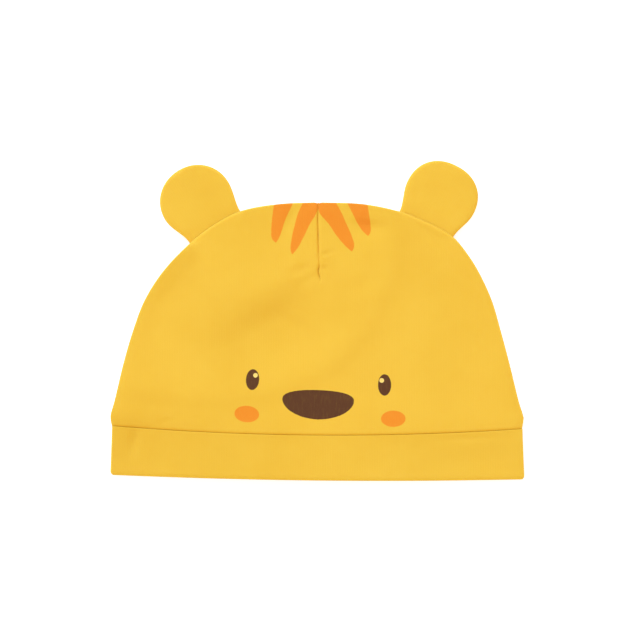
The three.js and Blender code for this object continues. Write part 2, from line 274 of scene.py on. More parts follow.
@dataclass(frozen=True)
class HatForm:
    """The lying hat's own form, which all its pieces are cut from: outline, seams, puff and dents."""

    # How high the crown's seam and the middle of the band lie over the table
    seam_height: float = 3.0
    # Thread pulls the edges of the cloth together, closer than the solids may lie
    stitch_gap: float = 0.08
    seam: Arc = Arc(10.0, -55.5, 0.00038)
    rim: Arc = Arc(36.0, -77.7, 0.00015)
    # How far below the rim the outline's line runs on, so that it passes the band's corners
    past_rim: float = 4.0
    # How much higher than flat cloth the front stands, at heights up the hat
    puff_at: tuple[float, ...] = (-78.0, -55.0, -35.0, -10.0, 30.0, 58.0)
    puff: tuple[float, ...] = (4.2, 4.4, 2.8, 2.0, 1.8, 1.6)
    puff_spread: float = 60.0
    # How far inside the outline the relief has its full height, how far where an ear is, and how
    # far the folds along the seams have theirs
    dent_fade: float = 0.5
    ear_fade: float = 4.0
    fold_fade: float = 4.0
    # Each half of the crown's outline, from the band's seam to the dart
    left: tuple[tuple[float, float], ...] = (
        (-100.4, -50.85), (-101.0, -46.6), (-98.9, -38.4), (-94.5, -20.0), (-89.9, -4.3),
        (-84.3, 10.3), (-75.6, 24.0), (-64.2, 36.2), (-50.3, 47.1), (-36.5, 54.0),
        (-18.3, 57.2), (0.3, 58.0),
    )
    right: tuple[tuple[float, float], ...] = (
        (99.8, -52.4), (100.6, -48.2), (97.9, -38.4), (93.4, -20.0), (89.2, -4.3),
        (84.9, 10.3), (78.5, 24.2), (73.4, 32.4), (66.9, 40.3), (59.7, 45.0),
        (51.5, 49.0), (41.0, 53.2), (22.6, 57.1), (0.3, 58.0),
    )
    # Where the rim and the band's seam end at the left and at the right
    rim_ends: tuple[float, float] = (-101.0, 100.8)
    seam_ends: tuple[float, float] = (-100.2, 99.9)
    # The broad hollows and ridges of the front, with a dip before each ear
    dents: tuple[Dent, ...] = (
        Dent(-21, 18, 28, 20, 9, 0.85),
        Dent(-26, -3, 28, 22, 10, -2.9, 2.3),
        Dent(-12, -2, -31, 9, 4.5, -0.8, 2.5),
        Dent(-42, -38, 10, 18, 9, 0.3),
        Dent(9, -12, 30, 15, 9, 0.6),
        Dent(-52.0, 45.0, 33, 17, 6, -1.1, 3.3),
        Dent(54.0, 43.0, -27, 12, 4, -0.5, 3.0),
        Dent(-8, -15, 20, 10, 7, -0.9, 2.5),
        Dent(24.5, 46.4, -6, 8, 2.6, -1.2, 2.4),
        Dent(60, 25, 70, 16, 9, -0.3),
        Dent(-100, -44, 0, 12, 18, 2.0),
        Dent(-89, -58, 80, 7, 3, -0.8),
        Dent(74, -57, 3, 14, 1.6, -0.3),
        Dent(82, -68, 5, 18, 10, -1.3, 2.0),
    )
    # Small folds round the dart's tail and at the sides, finer than the solids have
    small_folds: tuple[Dent, ...] = (
        Dent(4.2, 33.0, 14, 3.6, 0.9, -0.45),
        Dent(3.2, 25.8, -6, 1.7, 0.9, -0.40),
        Dent(-7.6, 25.3, 22, 4.5, 2.4, -0.70),
        Dent(-5.0, 20.0, 35, 8.0, 3.0, -0.40),
        Dent(-13.0, 50.0, 65, 7.0, 2.5, -0.60),
        Dent(20.0, 17.0, 35, 9.0, 5.0, -0.40),
        Dent(-58.4, -47.4, 5, 2.4, 1.4, -0.12),
        Dent(-74.0, -48.6, 8, 3.5, 1.5, -0.25),
        Dent(-82.0, -51.4, 0, 3.0, 1.5, -0.25),
    )
    # The crown's fuller part ends in a soft step along a bent line, turned by this much. It is
    # lowest at its middle, and rises with the square of the distance along it from there.
    step_turn: float = 42.0
    step: Arc = Arc(-2.0, -22.5, 0.0072)
    step_width: float = 9.0
    step_rise: float = 0.3
    # The cloth stands up in a crest along the step's upper side, steep below it and gentle above
    crest: float = 0.55
    crest_inside: float = 3.0
    crest_widths: tuple[float, float] = (6.0, 13.0)
    # The seam allowance inside the outline lifts the front's edge, most of all at the upper left
    edge_rise: float = 1.8
    edge_width: float = 7.0
    edge_right: float = 0.25
    edge_x: float = -30.0
    edge_y: float = -40.0
    edge_fade_x: float = 20.0
    edge_fade_y: float = 66.0
    # The left side rises from a pressed rim to the crown, and sinks back slowly above that
    rise_left: float = 4.0
    rise_x: float = -15.0
    rise_fade_x: float = 75.0
    rise_low: float = -88.0
    rise_length: float = 46.0
    # The share of the rise that lies below the flat cloth
    rise_below: float = 0.5
    sink: float = 0.15
    sink_length: float = 60.0
    # How far in the roll over the outline's edge reaches, on the crown and at the band's ends, and
    # the share of its thickness that the cloth keeps where it is pressed there
    roll_width: float = 0.5
    band_roll_width: float = 0.8
    pressed: float = 0.35
    # How the outline's seam opens to take the base of an ear
    slot_half: float = 11.6
    slot_fade: float = 5.0
    slot_reach: float = 18.1
    flattest: float = 0.9
    # Cloth that has been worn and folded is never quite even: rows of wavelength, height and seed
    unevenness: tuple[tuple[float, float, int], ...] = ((46.0, 0.12, 3), (19.0, 0.06, 5), (8.0, 0.02, 8))
    ears: tuple[EarPlace, ...] = (EAR_LEFT, EAR_RIGHT)
    curves: tuple[SmoothCurve, SmoothCurve] = field(init=False)
    line: Points = field(init=False)

    def __post_init__(self) -> None:
        """Works out the two outline curves, and the line that both make with the band's sides."""
        curves = (SmoothCurve(self.left), SmoothCurve(self.right))
        ends = [[x, self.rim.at(x) - self.past_rim] for x in self.rim_ends]
        line = np.vstack([ends[0], curves[0].points, curves[1].points[::-1][1:], ends[1]])
        object.__setattr__(self, "curves", curves)
        object.__setattr__(self, "line", line)

    def nearest_edge(self, x: Field, y: Field) -> tuple[Field, Field, Field]:
        """How far points are inside the outline, and the way out from them.

        For each row of the grid, the distance to every stretch of the outline's line is worked out
        at once, and the nearest one gives its own outward normal.

        Args:
            x, y: the grid's flat points.

        Returns:
            The distance inside, and the x and y of the outward direction.
        """
        start, step = self.line[:-1], np.diff(self.line, axis=0)
        length = np.linalg.norm(step, axis=1)
        inset, pick = np.empty(x.shape), np.empty(x.shape, int)
        for row in range(x.shape[0]):
            dx = x[row][:, None] - start[:, 0]
            dy = y[row][:, None] - start[:, 1]
            t = np.clip((dx * step[:, 0] + dy * step[:, 1]) / length**2, 0.0, 1.0)
            away = np.hypot(dx - t * step[:, 0], dy - t * step[:, 1])
            pick[row] = away.argmin(1)
            inset[row] = away.min(1)
        return inset, -step[pick, 1] / length[pick], step[pick, 0] / length[pick]

    def ear_opening(self, x: Field, y: Field) -> Field:
        """How far the outline's seam opens for an ear, from 0 to 1.

        Args:
            x, y: the points.

        Returns:
            One within the slot's half width along an ear's base, fading softly to nothing past it.
        """
        opening = np.zeros(x.shape)
        for ear in self.ears:
            u, v = ear.frame_of(x, y)
            share = 1.0 - smooth((np.abs(u) - self.slot_half) / self.slot_fade)
            opening = np.maximum(opening, np.where(np.abs(v) < self.slot_reach, share, 0.0))
        return opening

    def to_left(self, x: Field) -> Field:
        """How far to the left points lie: from 0 near the middle to 1 at the left side."""
        return smooth((self.rise_x - x) / self.rise_fade_x)

    def relief(self, x: Field, y: Field, inset: Field) -> Field:
        """The front's own form on top of its puff.

        It is the sum of the dents and small folds, the long step with the crest on its upper side,
        the ridge inside the edge, the unevenness and the rise of the left side, and it fades out
        at the outline.

        Args:
            x, y: the points.
            inset: how far inside the outline they are.

        Returns:
            The height that they add together.
        """
        height = sum(dent.at(x, y) for dent in self.dents + self.small_folds)
        along, across = turned(x, y, self.step_turn)
        steep = np.hypot(1.0, 2.0 * self.step.bend * (along - self.step.middle))
        past_step = (across - self.step.at(along)) / steep
        height = height + self.step_rise * smooth(0.5 + past_step / self.step_width)
        past_crest = past_step - self.crest_inside
        crest_width = np.where(past_crest < 0.0, *self.crest_widths)
        height = height + self.crest * bell(past_crest / crest_width)
        reach = mix(self.edge_right, 1.0, smooth((self.edge_x - x) / self.edge_fade_x))
        opening = self.ear_opening(x, y)
        reach = reach * smooth((y - self.edge_y) / self.edge_fade_y) * (1.0 - opening)
        height = height + self.edge_rise * reach * bell(inset / self.edge_width)
        for wavelength, rise, seed in self.unevenness:
            height = height + rise * ripple(x, y, wavelength, seed)
        past_rise = y - self.rise_low
        up = smooth(past_rise / self.rise_length) - self.rise_below
        back = self.sink * smooth((past_rise - self.rise_length) / self.sink_length)
        height = height + self.rise_left * self.to_left(x) * (up - back)
        return height * smooth(inset / mix(self.dent_fade, self.ear_fade, opening))

    def front_puff(self, x: Field, y: Field, inset: Field) -> Field:
        """How much higher than flat cloth the front stands.

        The puff rises from the outline towards its full height as one less e to the minus share.

        Args:
            x, y: the points.
            inset: how far inside the outline they are.

        Returns:
            The puff with the relief on it.
        """
        puff = np.interp(y, self.puff_at, self.puff)
        return puff * (1.0 - np.exp(-inset / self.puff_spread)) + self.relief(x, y, inset)

    def roll(self, inset: Field, opening: Field, width: float) -> tuple[Field, Field]:
        """The roll of the cloth over the outline's edge, as a quarter of an oval.

        Args:
            inset: how far inside the outline each point is.
            opening: how far the seam opens there, which leaves the cloth nearly flat.
            width: how far in the roll starts.

        Returns:
            The shares of the oval's width and height at which the cloth is.
        """
        out = (1.0 - self.flattest * opening) * (1.0 - np.clip(inset / width, 0.0, 1.0))
        return out, np.sqrt(1.0 - out**2)


@dataclass(frozen=True)
class Dart:
    """The dart that takes in the top of a panel: a sewn crease down its middle, with soft shoulders."""

    # The crease's line up the panel, from its tail to the outline: a row of y and x for each point
    line: tuple[tuple[float, float], ...] = (
        (18.0, 1.4), (20.6, 1.2), (22.5, 0.7), (24.5, 0.3), (26.9, 0.9), (30.0, 0.7),
        (34.0, 0.5), (42.0, 0.3), (50.0, 0.1), (58.0, 0.3),
    )
    # How deep the crease is along that line: a row of y and depth for each point
    depths: tuple[tuple[float, float], ...] = (
        (19.0, 0.0), (21.5, 1.4), (25.5, 1.6), (28.0, 0.8), (33.0, 1.0), (37.0, 1.4), (58.0, 1.4),
    )
    crease: float = 0.4
    # The cloth beside the crease stands up a little, from the dart's tip on over a run
    shoulder: float = 0.5
    shoulder_width: float = 5.5
    tip: float = 20.5
    run: float = 8.0
    # The notch that the crease makes in the outline
    notch: float = 0.6
    notch_width: float = 1.2

    def rise(self, x: Field, y: Field) -> Field:
        """The crease and its shoulders.

        The crease falls off as e to the minus distance over its width, which gives it a sharp
        bottom, and the shoulders are a wide low bell.

        Args:
            x, y: the points.

        Returns:
            The height that the dart adds, which is negative in the crease.
        """
        line, depths = np.array(self.line), np.array(self.depths)
        away = x - np.interp(y, line[:, 0], line[:, 1])
        depth = np.interp(y, depths[:, 0], depths[:, 1])
        shoulders = self.shoulder * smooth((y - self.tip) / self.run) * bell(away / self.shoulder_width)
        return shoulders - depth * np.exp(-np.abs(away) / self.crease)

    def notched(self, x: Field, y: Field) -> Field:
        """The outline's y with the small notch that the dart's seam pulls into it."""
        return y - self.notch * bell((x - self.line[-1][1]) / self.notch_width)


def faces_of(rows: int, columns: int, wrap_rows: bool, wrap_columns: bool) -> np.ndarray:
    """The quads between a grid's points, which turn left about the outward side.

    Args:
        rows, columns: the grid's size.
        wrap_rows: whether the last row joins the first.
        wrap_columns: whether each row's last point joins its first.

    Returns:
        A row of four point numbers for each quad.
    """
    i = np.arange(rows if wrap_rows else rows - 1)[:, None]
    j = np.arange(columns if wrap_columns else columns - 1)[None, :]
    i2, j2 = (i + 1) % rows, (j + 1) % columns
    corners = [i * columns + j, i * columns + j2, i2 * columns + j2, i2 * columns + j]
    return np.stack([c + 0 * (i + j) for c in corners], -1).reshape(-1, 4)


def slab_faces(rows: int, columns: int) -> np.ndarray:
    """The quads of a slab between an upper and a lower grid: both faces and the edge all round.

    Args:
        rows, columns: the size of each grid, the upper one's points coming first.

    Returns:
        A row of four point numbers for each quad.
    """
    upper = faces_of(rows, columns, False, False)
    lower = upper[:, ::-1] + rows * columns
    i, j = np.arange(rows), np.arange(columns)
    right, left = i[1:] * columns + columns - 1, i[-2:0:-1] * columns
    top = (rows - 1) * columns + j[-2::-1]
    edge = np.concatenate([j, right, top, left])
    after = np.roll(edge, -1)
    rim = np.stack([edge, edge + rows * columns, after + rows * columns, after], -1)
    return np.vstack([upper, lower, rim])


def stood(name: str, data: bpy.types.ID) -> Thing:
    """Makes an object of a mesh, a lamp or a camera, at the origin.

    Args:
        name: the object's name.
        data: what it is made of.

    Returns:
        The object, which is in the scene.
    """
    thing = bpy.data.objects.new(name, data)
    bpy.context.scene.collection.objects.link(thing)
    return thing


def put_down(name: str, points: Points, quads: np.ndarray, grain: Points, outside: Field) -> Thing:
    """Makes a mesh object of cloth from arrays, smooth but for its sharp edges.

    Args:
        name: the piece's name.
        points: x, y and z of each point, in millimetres.
        quads: four point numbers for each face. A corner that comes twice makes it a triangle.
        grain: how far along and across the knitting each point lies, in millimetres, for the UV map.
        outside: 1 for points on the cloth's right side and 0 on its wrong side.

    Returns:
        The object, which stands at the origin.
    """
    mesh = bpy.data.meshes.new(name)
    mesh.vertices.add(len(points))
    mesh.vertices.foreach_set("co", (points * MM).astype(np.float32).ravel())
    narrow = quads[:, 3] == quads[:, 0]
    sizes = np.where(narrow, 3, 4)
    corners = quads.ravel()[np.repeat(narrow, 4) * (np.arange(quads.size) % 4 == 3) == 0]
    mesh.loops.add(len(corners))
    mesh.loops.foreach_set("vertex_index", corners.astype(np.int32))
    mesh.polygons.add(len(quads))
    mesh.polygons.foreach_set("loop_start", (np.cumsum(sizes) - sizes).astype(np.int32))
    mesh.update(calc_edges=True)
    mesh.validate()
    mesh.polygons.foreach_set("use_smooth", np.ones(len(quads), bool))
    mesh.set_sharp_from_angle(angle=math.radians(SHARP_ANGLE))
    layer = mesh.uv_layers.new(name=GRAIN_MAP)
    layer.uv.foreach_set("vector", (grain[corners] / GRAIN_UNIT).astype(np.float32).ravel())
    side = mesh.attributes.new(OUTSIDE, "FLOAT", "POINT")
    side.data.foreach_set("value", outside.astype(np.float32))
    return stood(name, mesh)


@dataclass
class CrownPanel:
    """One of the two panels of the crown: a sheet of jersey rolled over at the outline's seam."""

    form: HatForm
    dart: Dart
    facing: Facing
    name: str
    wall: float = 1.2
    # The share of the outline that the first column follows
    side_share: float = 0.03
    # The band's seam allowance lifts the crown over it
    lip: float = 0.6
    lip_length: float = 40.0
    # How far the band's seam draws the crown's edge down: a height and a length, for all of it and
    # for its left part
    drawn: tuple[float, float] = (0.3, 3.0)
    drawn_left: tuple[float, float] = (0.6, 5.0)
    # How the cloth rounds over at the band's seam and at the ears: a width and a depth, and the
    # share of the first that is left at the left side
    seam_round: tuple[float, float] = (1.6, 0.8)
    seam_round_left: float = 0.5
    slot_round: tuple[float, float] = (1.5, 0.95)
    # How far the outline's seam is drawn in, and over how much height
    seam_pinch: float = 0.3
    pinch_height: float = 0.4
    # Puckers that the outline's seam draws into the cloth: how long and deep they are, how far
    # inside they are deepest, how soon they start and how slowly they end
    pucker_length: float = 5.0
    pucker_seed: int = 11
    pucker_depth: float = 0.05
    pucker_inside: float = 3.0
    pucker_start: float = 2.0
    pucker_fade: float = 9.0
    # How the grid's columns crowd towards the side and the dart, and its rows towards the edges
    columns: Field = field(default_factory=lambda: crowded(138, ((0, 0.02, 3.0), (1, 0.035, 6.0))))
    rows: Field = field(default_factory=lambda: crowded(168, ((0, 0.012, 7.0), (1, 0.02, 14.0))))

    def half(self, curve: SmoothCurve) -> tuple[Field, Field]:
        """One half of the flat cut, as a fan of columns from the side to the dart.

        The first column follows the outline, and each other one runs straight from a foot on the
        band's seam up to a point on the outline.

        Args:
            curve: the outline of that half, from the band's corner up to the dart.

        Returns:
            The x and y of the points, a row for each share of the way up.
        """
        share, up = self.columns[None, :], self.rows[:, None]
        foot_x = mix(curve.points[0, 0], curve.points[-1, 0], share)
        foot_y = self.form.seam.at(foot_x) + self.form.stitch_gap / 2
        top_x, top_y = curve.at(mix(self.side_share, 1.0, share))
        x, y = mix(foot_x, top_x, up), mix(foot_y, self.dart.notched(top_x, top_y), up)
        x[:, 0], y[:, 0] = curve.at(self.side_share * self.rows)
        return x, y

    def lift(self, x: Field, y: Field, inset: Field) -> Field:
        """How far the panel stands off flat cloth.

        Args:
            x, y: the points.
            inset: how far inside the outline they are.

        Returns:
            On the front, the puff, the lip over the band, which the seam draws down at its edge,
            and the dart. On the back, which lies on the table, only the crease of the dart.
        """
        crease = self.dart.rise(x, y) * smooth(inset / self.form.fold_fade)
        if self.facing is Facing.BACK:
            return np.maximum(0.0, -crease)
        above = np.maximum(0.0, y - self.form.seam.at(x))
        lip = self.lip * np.exp(-above / self.lip_length)
        drawn = self.drawn[0] * np.exp(-above / self.drawn[1])
        drawn = drawn + self.form.to_left(x) * self.drawn_left[0] * np.exp(-above / self.drawn_left[1])
        edge = (lip - drawn) * smooth(inset / self.form.fold_fade)
        return self.form.front_puff(x, y, inset) + edge + crease

    def surfaces(self) -> tuple[Points, Points, Points]:
        """The panel's outer and inner face, and its grain.

        The outer face is the flat one less the roll's drop plus the lift. The inner one lies a
        wall's thickness inside it, along the normal: up less the lift's slope on the flat, turned
        outwards by the roll, where the cloth is pressed thinner. The outer face alone rounds over
        at the band's seam and at the ears.

        Returns:
            The outer points, the inner points, and how far along and across the knitting they lie.
        """
        form, sign = self.form, self.facing.value
        (lx, ly), (rx, ry) = (self.half(curve) for curve in form.curves)
        x, y = np.hstack([lx, rx[:, -2::-1]]), np.hstack([ly, ry[:, -2::-1]])
        inset, out_x, out_y = form.nearest_edge(x, y)
        inset[-1], inset[:, 0], inset[:, -1] = 0.0, 0.0, 0.0
        opening = form.ear_opening(x, y)
        height = form.seam_height - form.stitch_gap / 2
        out, up = form.roll(inset, opening, form.roll_width)
        drop = height / (1.0 - form.flattest * opening) * (1.0 - up)
        lift = self.lift(x, y, inset)
        puckers = ripple(x, y, self.pucker_length, self.pucker_seed)
        puckers = puckers * bell((inset - self.pucker_inside) / self.pucker_fade)
        lift = lift + sign * self.pucker_depth * puckers * smooth(inset / self.pucker_start)
        flat = 2.0 * form.seam_height if self.facing is Facing.FRONT else 0.0
        z = flat - sign * drop + lift
        slope_x, slope_y = slopes(x, y, lift)
        normal = np.stack([-slope_x, -slope_y, np.ones(x.shape)], -1)
        normal = normal * (sign * up / np.linalg.norm(normal, axis=-1))[..., None]
        normal = normal + form.pressed * np.stack([out_x * out, out_y * out, 0 * x], -1)
        normal[0, :, 1] = 0.0
        inner = np.stack([x, y, z], -1) - self.wall * normal
        above = y - form.seam.at(x) - form.stitch_gap / 2
        at_band = mix(1.0, self.seam_round_left, form.to_left(x)) * rounding(above, *self.seam_round)
        edge = np.maximum(at_band, opening * rounding(inset, *self.slot_round))
        pinch = self.seam_pinch * bell((z - form.seam_height) / self.pinch_height)
        outer = np.stack([x - out_x * pinch, y - out_y * pinch, z - sign * edge], -1)
        return outer, inner, self.unrolled(x, y, out_x, out_y, inset)

    def unrolled(self, x: Field, y: Field, out_x: Field, out_y: Field, inset: Field) -> Points:
        """The knitting's own flat coordinates: the rolled edge is laid out flat again.

        A point in the roll moves outwards by its arc's length less the arc's width, as if the roll
        were round.

        Args:
            x, y: the points.
            out_x, out_y: the way out.
            inset: how far inside the outline they are.

        Returns:
            Two coordinates for each point.
        """
        share = 1.0 - np.minimum(inset / self.form.roll_width, 1.0)
        extra = self.form.seam_height * (np.arcsin(share) - share)
        return np.stack([x + out_x * extra, y + out_y * extra], -1)

    def build(self) -> Thing:
        """Makes the panel's mesh from its two faces and the edge between them.

        Returns:
            The piece.
        """
        outer, inner, grain = self.surfaces()
        rows, columns = outer.shape[:2]
        sides = [outer, inner] if self.facing is Facing.FRONT else [inner, outer]
        points = np.concatenate([side.reshape(-1, 3) for side in sides])
        outside = np.repeat([1.0, 0.0] if self.facing is Facing.FRONT else [0.0, 1.0], rows * columns)
        grain = np.tile(grain.reshape(-1, 2), (2, 1))
        return put_down(self.name, points, slab_faces(rows, columns), grain, outside)


def slopes(x: Field, y: Field, height: Field) -> tuple[Field, Field]:
    """The slopes of a height along x and y, on a grid whose rows and columns may slant.

    Each is a quotient of two determinants of the changes along the grid's rows and columns.

    Args:
        x, y: the grid's points.
        height: the height at each.

    Returns:
        The slope along x and the slope along y.
    """
    (x_i, x_j), (y_i, y_j), (h_i, h_j) = (np.gradient(v) for v in (x, y, height))
    area = x_i * y_j - x_j * y_i
    area = np.where(np.abs(area) < TINY, TINY, area)
    return (h_i * y_j - h_j * y_i) / area, (h_j * x_i - h_i * x_j) / area


@dataclass
class Band:
    """The band round the opening: one strip of jersey folded double at the rim."""

    form: HatForm
    name: str
    # One layer's thickness, and that of both with the hair's breadth between them
    wall: float = 0.82
    thickness: float = 1.8
    # How wide the folded strip is, for its knitting
    strip: float = 22.0
    # How far the fold at the rim reaches below its own line, as a share of half the thickness
    fold_reach: float = 0.35
    # The seam allowance inside lifts the band's upper edge
    lift: float = 0.3
    lift_length: float = 3.0
    # How round the rim's corners are, and up to which share of the band's height
    corner: float = 1.6
    corner_share: float = 0.4
    # How the outer layer rounds over at the crown's seam and at the rim: a width and a depth
    seam_round: tuple[float, float] = (0.3, 0.15)
    rim_round: tuple[float, float] = (2.5, 0.45)
    across_count: int = 216
    face_rows: int = 46
    inner_rows: int = 16
    fold_rows: int = 14

    def profile(self) -> tuple[Field, Field, Field]:
        """The closed section of the folded strip, from the seam down the outside and back.

        It goes down the outer face, round the fold in a half circle, up to the seam inside the
        hat, then back down between the two layers, round the fold's inside and up to the start.

        Returns:
            For each point of it, the share up from the fold to the seam, the depth inside the
            outer face, and how far round the fold it is below the fold's own line.
        """
        half, hollow = self.thickness / 2, self.thickness / 2 - self.wall
        up = crowded(self.face_rows, ((1, 0.03, 5.0),))
        plain = np.linspace(0.0, 1.0, self.inner_rows)
        turn = np.linspace(0.0, math.pi, self.fold_rows + 2)[1:-1]
        stretches = [
            (up[::-1], 0.0 * up, 0.0 * up),
            (0.0 * turn, half - half * np.cos(turn), self.fold_reach * half * np.sin(turn)),
            (up, self.thickness + 0.0 * up, 0.0 * up),
            (plain[::-1], half + hollow + 0.0 * plain, 0.0 * plain),
            (0.0 * turn, half + hollow * np.cos(turn), self.fold_reach * hollow * np.sin(turn)),
            (plain, half - hollow + 0.0 * plain, 0.0 * plain),
        ]
        return tuple(np.concatenate([stretch[k] for stretch in stretches]) for k in range(3))

    def build(self) -> Thing:
        """Carries the section round the ring of the opening and makes the mesh.

        The ring goes across the front to the right and back underneath to the left. A point's
        height is the seam's, up or down by what the roll at the two ends leaves of the half
        thickness, and the front has the crown's puff and the seam allowance's lift on top. The
        outer layer rounds over at the crown's seam and at the rim.

        Returns:
            The piece.
        """
        form = self.form
        share = (1.0 - np.cos(np.pi * np.arange(self.across_count) / self.across_count)) / 2.0
        across = np.concatenate([share, 1.0 - share])[None, :]
        side = np.repeat([1.0, -1.0], self.across_count)[None, :]
        up, depth, below = (v[:, None] for v in self.profile())
        ends = [mix(form.rim_ends[k], form.seam_ends[k], up) for k in (0, 1)]
        x = mix(ends[0], ends[1], across)
        inset = np.minimum(x - ends[0], ends[1] - x)
        corner = rounding(inset, self.corner, self.corner) * (1.0 - smooth(up / self.corner_share))
        low = form.rim.at(x) + self.fold_reach * self.thickness / 2 + corner
        top = form.seam.at(x) - form.stitch_gap / 2
        y = mix(low, top, up) - below
        cosine, sine = form.roll(inset, 0.0 * x, form.band_roll_width)
        pressed = mix(1.0, form.pressed, cosine)
        lift = self.lift * np.exp((y - top) / self.lift_length) * smooth(inset / form.fold_fade)
        puff = np.where(side > 0, form.front_puff(x, y, inset) + lift, 0.0)
        outer = np.where(depth == 0.0, rounding(top - y, *self.seam_round), 0.0)
        near_face = np.clip(1.0 - depth / (self.thickness / 2), 0.0, 1.0)
        outer = outer + near_face * rounding(up * (top - low), *self.rim_round)
        z = form.seam_height + side * (form.seam_height - depth) * sine + puff - side * outer * sine
        shift = depth * pressed * cosine * np.sign(across - 0.5)
        points = np.stack([x - shift, y, z], -1)
        travelled = running_sum(np.hypot(np.diff(up[:, 0]) * self.strip, np.diff(depth[:, 0])))
        end_roll = form.seam_height * (np.arcsin(cosine) - cosine) * np.sign(across - 0.5)
        grain = np.stack([x + end_roll, -travelled[:, None] + 0.0 * x], -1)
        rows, columns = x.shape
        outside = np.ones(rows * columns)
        quads = faces_of(rows, columns, True, True)[:, ::-1]
        return put_down(self.name, points.reshape(-1, 3), quads, grain.reshape(-1, 2), outside)


@dataclass
class Ear:
    """An ear: a pouch of two layers, a round head on a waisted neck, tucked into the crown's seam."""

    form: HatForm
    place: EarPlace
    wall: float = 1.0
    # The head's radius, its centre's and tip's distance from the base, and the length tucked in
    radius: float = 18.1
    centre: float = 16.0
    reach: float = 33.2
    tuck: float = 4.0
    # Half the thickness at the base, in the head and where the layers are sewn together
    base_half: float = 1.3
    head_half: float = 1.7
    sewn_half: float = 0.1
    # The power of a section's oval: the higher it is, the flatter the two layers lie
    squareness: float = 14.0
    # How far from its base the ear has its full thickness
    filled: float = 7.0
    # The groove of the seam that joins the two layers round the edge: how deep and wide it is, how
    # far below the base it starts and how soon it is full
    seam_depth: float = 0.35
    seam_width: float = 0.3
    seam_tuck: float = 1.0
    seam_fade: float = 4.0
    # How uneven the cloth is, as rows of wavelength, height and what is added to the ear's seed,
    # and how far from the base it is fully so
    unevenness: tuple[tuple[float, float, int], ...] = ((17.0, 0.30, 0), (7.0, 0.06, 100))
    uneven_from: float = 10.0
    along_count: int = 110
    across_count: int = 96

    def half_width(self, v: Field, across: Field) -> Field:
        """The ear's half width at a distance v from its base, which its two sides don't share.

        Past its centre the outline is a power of the height plus a power of the width, as in an
        ellipse but a little fuller, and below it a cosine waist narrows it to the neck. The half
        widths of the neck's two sides blend over its middle.

        Args:
            v: the distance.
            across: which side it is for: negative on the left.

        Returns:
            The half width.
        """
        power = self.place.fullness
        past = np.clip((v - self.centre) / (self.reach - self.centre), 0.0, 1.0)
        head = self.radius * (1.0 - past**power) ** (1.0 / power)
        waist = (1.0 - np.cos(np.pi * np.maximum(v, 0.0) / self.centre)) / 2.0
        neck = mix(*self.place.necks, smooth(across + 0.5))
        return np.where(v > self.centre, head, mix(neck, self.radius, waist))

    def half_thickness(self, v: Field) -> Field:
        """The half thickness: thin in the seam, a little fuller in the head, round at the tip.

        Args:
            v: the distance from the base.

        Returns:
            A soft step from the base's to the head's, times the root of one less a high power.
        """
        past = np.clip((v - self.centre) / (self.reach - self.centre), 0.0, 1.0)
        head = self.head_half * np.sqrt(1.0 - past**self.squareness)
        neck = mix(self.base_half, self.head_half, smooth(v / self.filled))
        return np.where(v < self.centre, neck, head)

    def ring(self, v: Field, wall: float) -> Points:
        """The rings of one face of the pouch, at distances v from the base.

        A section is a flat oval, whose thickness is the root of one less a high power of the share
        across. Its two ends draw in where the two layers are sewn together, by a bell of the
        thickness times the cube of the share across, which keeps the groove to the edge.

        Args:
            v: the distances, one for each ring.
            wall: how far inside the outer face this face lies.

        Returns:
            The points, in the ear's own frame, a row for each ring.
        """
        share = np.sin(np.linspace(-np.pi / 2, np.pi / 2, self.across_count))
        across = np.concatenate([share, share[-2:0:-1]])[None, :]
        side = np.repeat([1.0, -1.0], [self.across_count, self.across_count - 2])[None, :]
        v = v[:, None]
        width = np.maximum(self.half_width(v, across) - wall, 0.0)
        half = np.maximum(self.sewn_half, self.half_thickness(v) - wall)
        thick = half * np.sqrt(np.maximum(0.0, 1.0 - np.abs(across) ** self.squareness))
        groove = self.seam_depth * bell(thick / self.seam_width)
        groove = groove * smooth((v + self.seam_tuck) / self.seam_fade)
        groove = groove * (0.0 if wall else 1.0) * np.abs(across) ** 3
        x = self.place.lean * smooth(v / self.centre) + across * (width - np.minimum(groove, width))
        bump = sum(
            rise * ripple(x * side, v + 0.0 * x, length, self.place.seed + k)
            for length, rise, k in self.unevenness
        )
        z = side * thick + bump * smooth(v / self.uneven_from) * (thick / self.head_half)
        return np.stack([x, v + 0.0 * x, z], -1)

    def build(self) -> Thing:
        """Makes the pouch: its inner face from the tip to the open base, and its outer one back.

        Returns:
            The piece, turned and laid down in its place.
        """
        below = np.linspace(-self.tuck, self.centre, self.along_count // 2)
        turn = np.linspace(0.0, np.pi / 2, self.along_count - len(below) + 1)[1:-1]
        v = np.concatenate([below, mix(self.centre, self.reach, np.sin(turn))])
        shrink = (self.reach - self.wall) / self.reach
        inner = self.ring(np.where(v > 0, v * shrink, v), self.wall)[::-1]
        outer = self.ring(v, 0.0)
        rings = np.concatenate([inner, outer])
        rows, columns = rings.shape[:2]
        tips = np.array([[self.place.lean, self.reach - wall, 0.0] for wall in (self.wall, 0.0)])
        own = np.concatenate([rings.reshape(-1, 3), tips])
        j = np.arange(columns)
        after, last = (j + 1) % columns, (rows - 1) * columns
        inner_tip = np.stack([j, 0 * j + rows * columns, after, j], -1)
        outer_tip = np.stack([last + after, 0 * j + rows * columns + 1, last + j, last + after], -1)
        quads = np.vstack([faces_of(rows, columns, False, True), inner_tip, outer_tip])
        outside = np.concatenate([np.repeat([0.0, 1.0], rows * columns // 2), [0.0, 1.0]])
        return put_down(f"hat_{self.place.name}", self.laid(own), quads, own[:, :2], outside)

